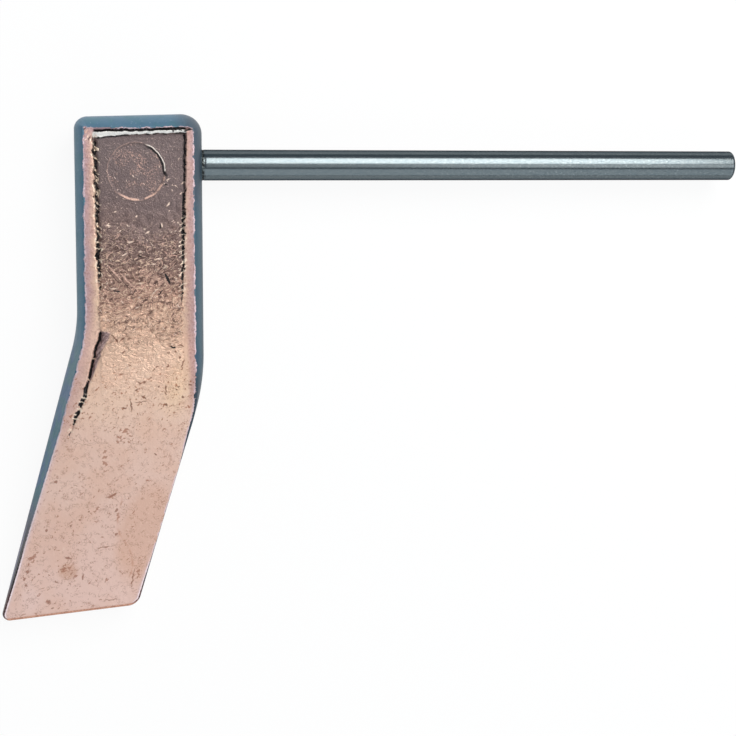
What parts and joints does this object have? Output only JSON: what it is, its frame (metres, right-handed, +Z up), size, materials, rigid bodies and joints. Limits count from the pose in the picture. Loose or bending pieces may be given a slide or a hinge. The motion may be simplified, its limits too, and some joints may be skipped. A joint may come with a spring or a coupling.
{
  "type": "soldering copper",
  "caption": "Angled hammer-form soldering copper: a forged, wedge-tapered copper head with a struck panel, pressed onto a plain round steel shank.",
  "frame": {"origin": "on the shank's axis, where the shank leaves the copper head", "axes": "+X out along the shank, +Z up out of the marked face, the working edge towards -Y"},
  "size_m": [0.1774, 0.1146, 0.015],
  "materials": {
    "forged_copper": "as forged, satin",
    "ground_steel": "ground"
  },
  "bodies": {
    "root": {"copper_head": "forged_copper", "steel_shank": "ground_steel"}
  },
  "joints": []
}
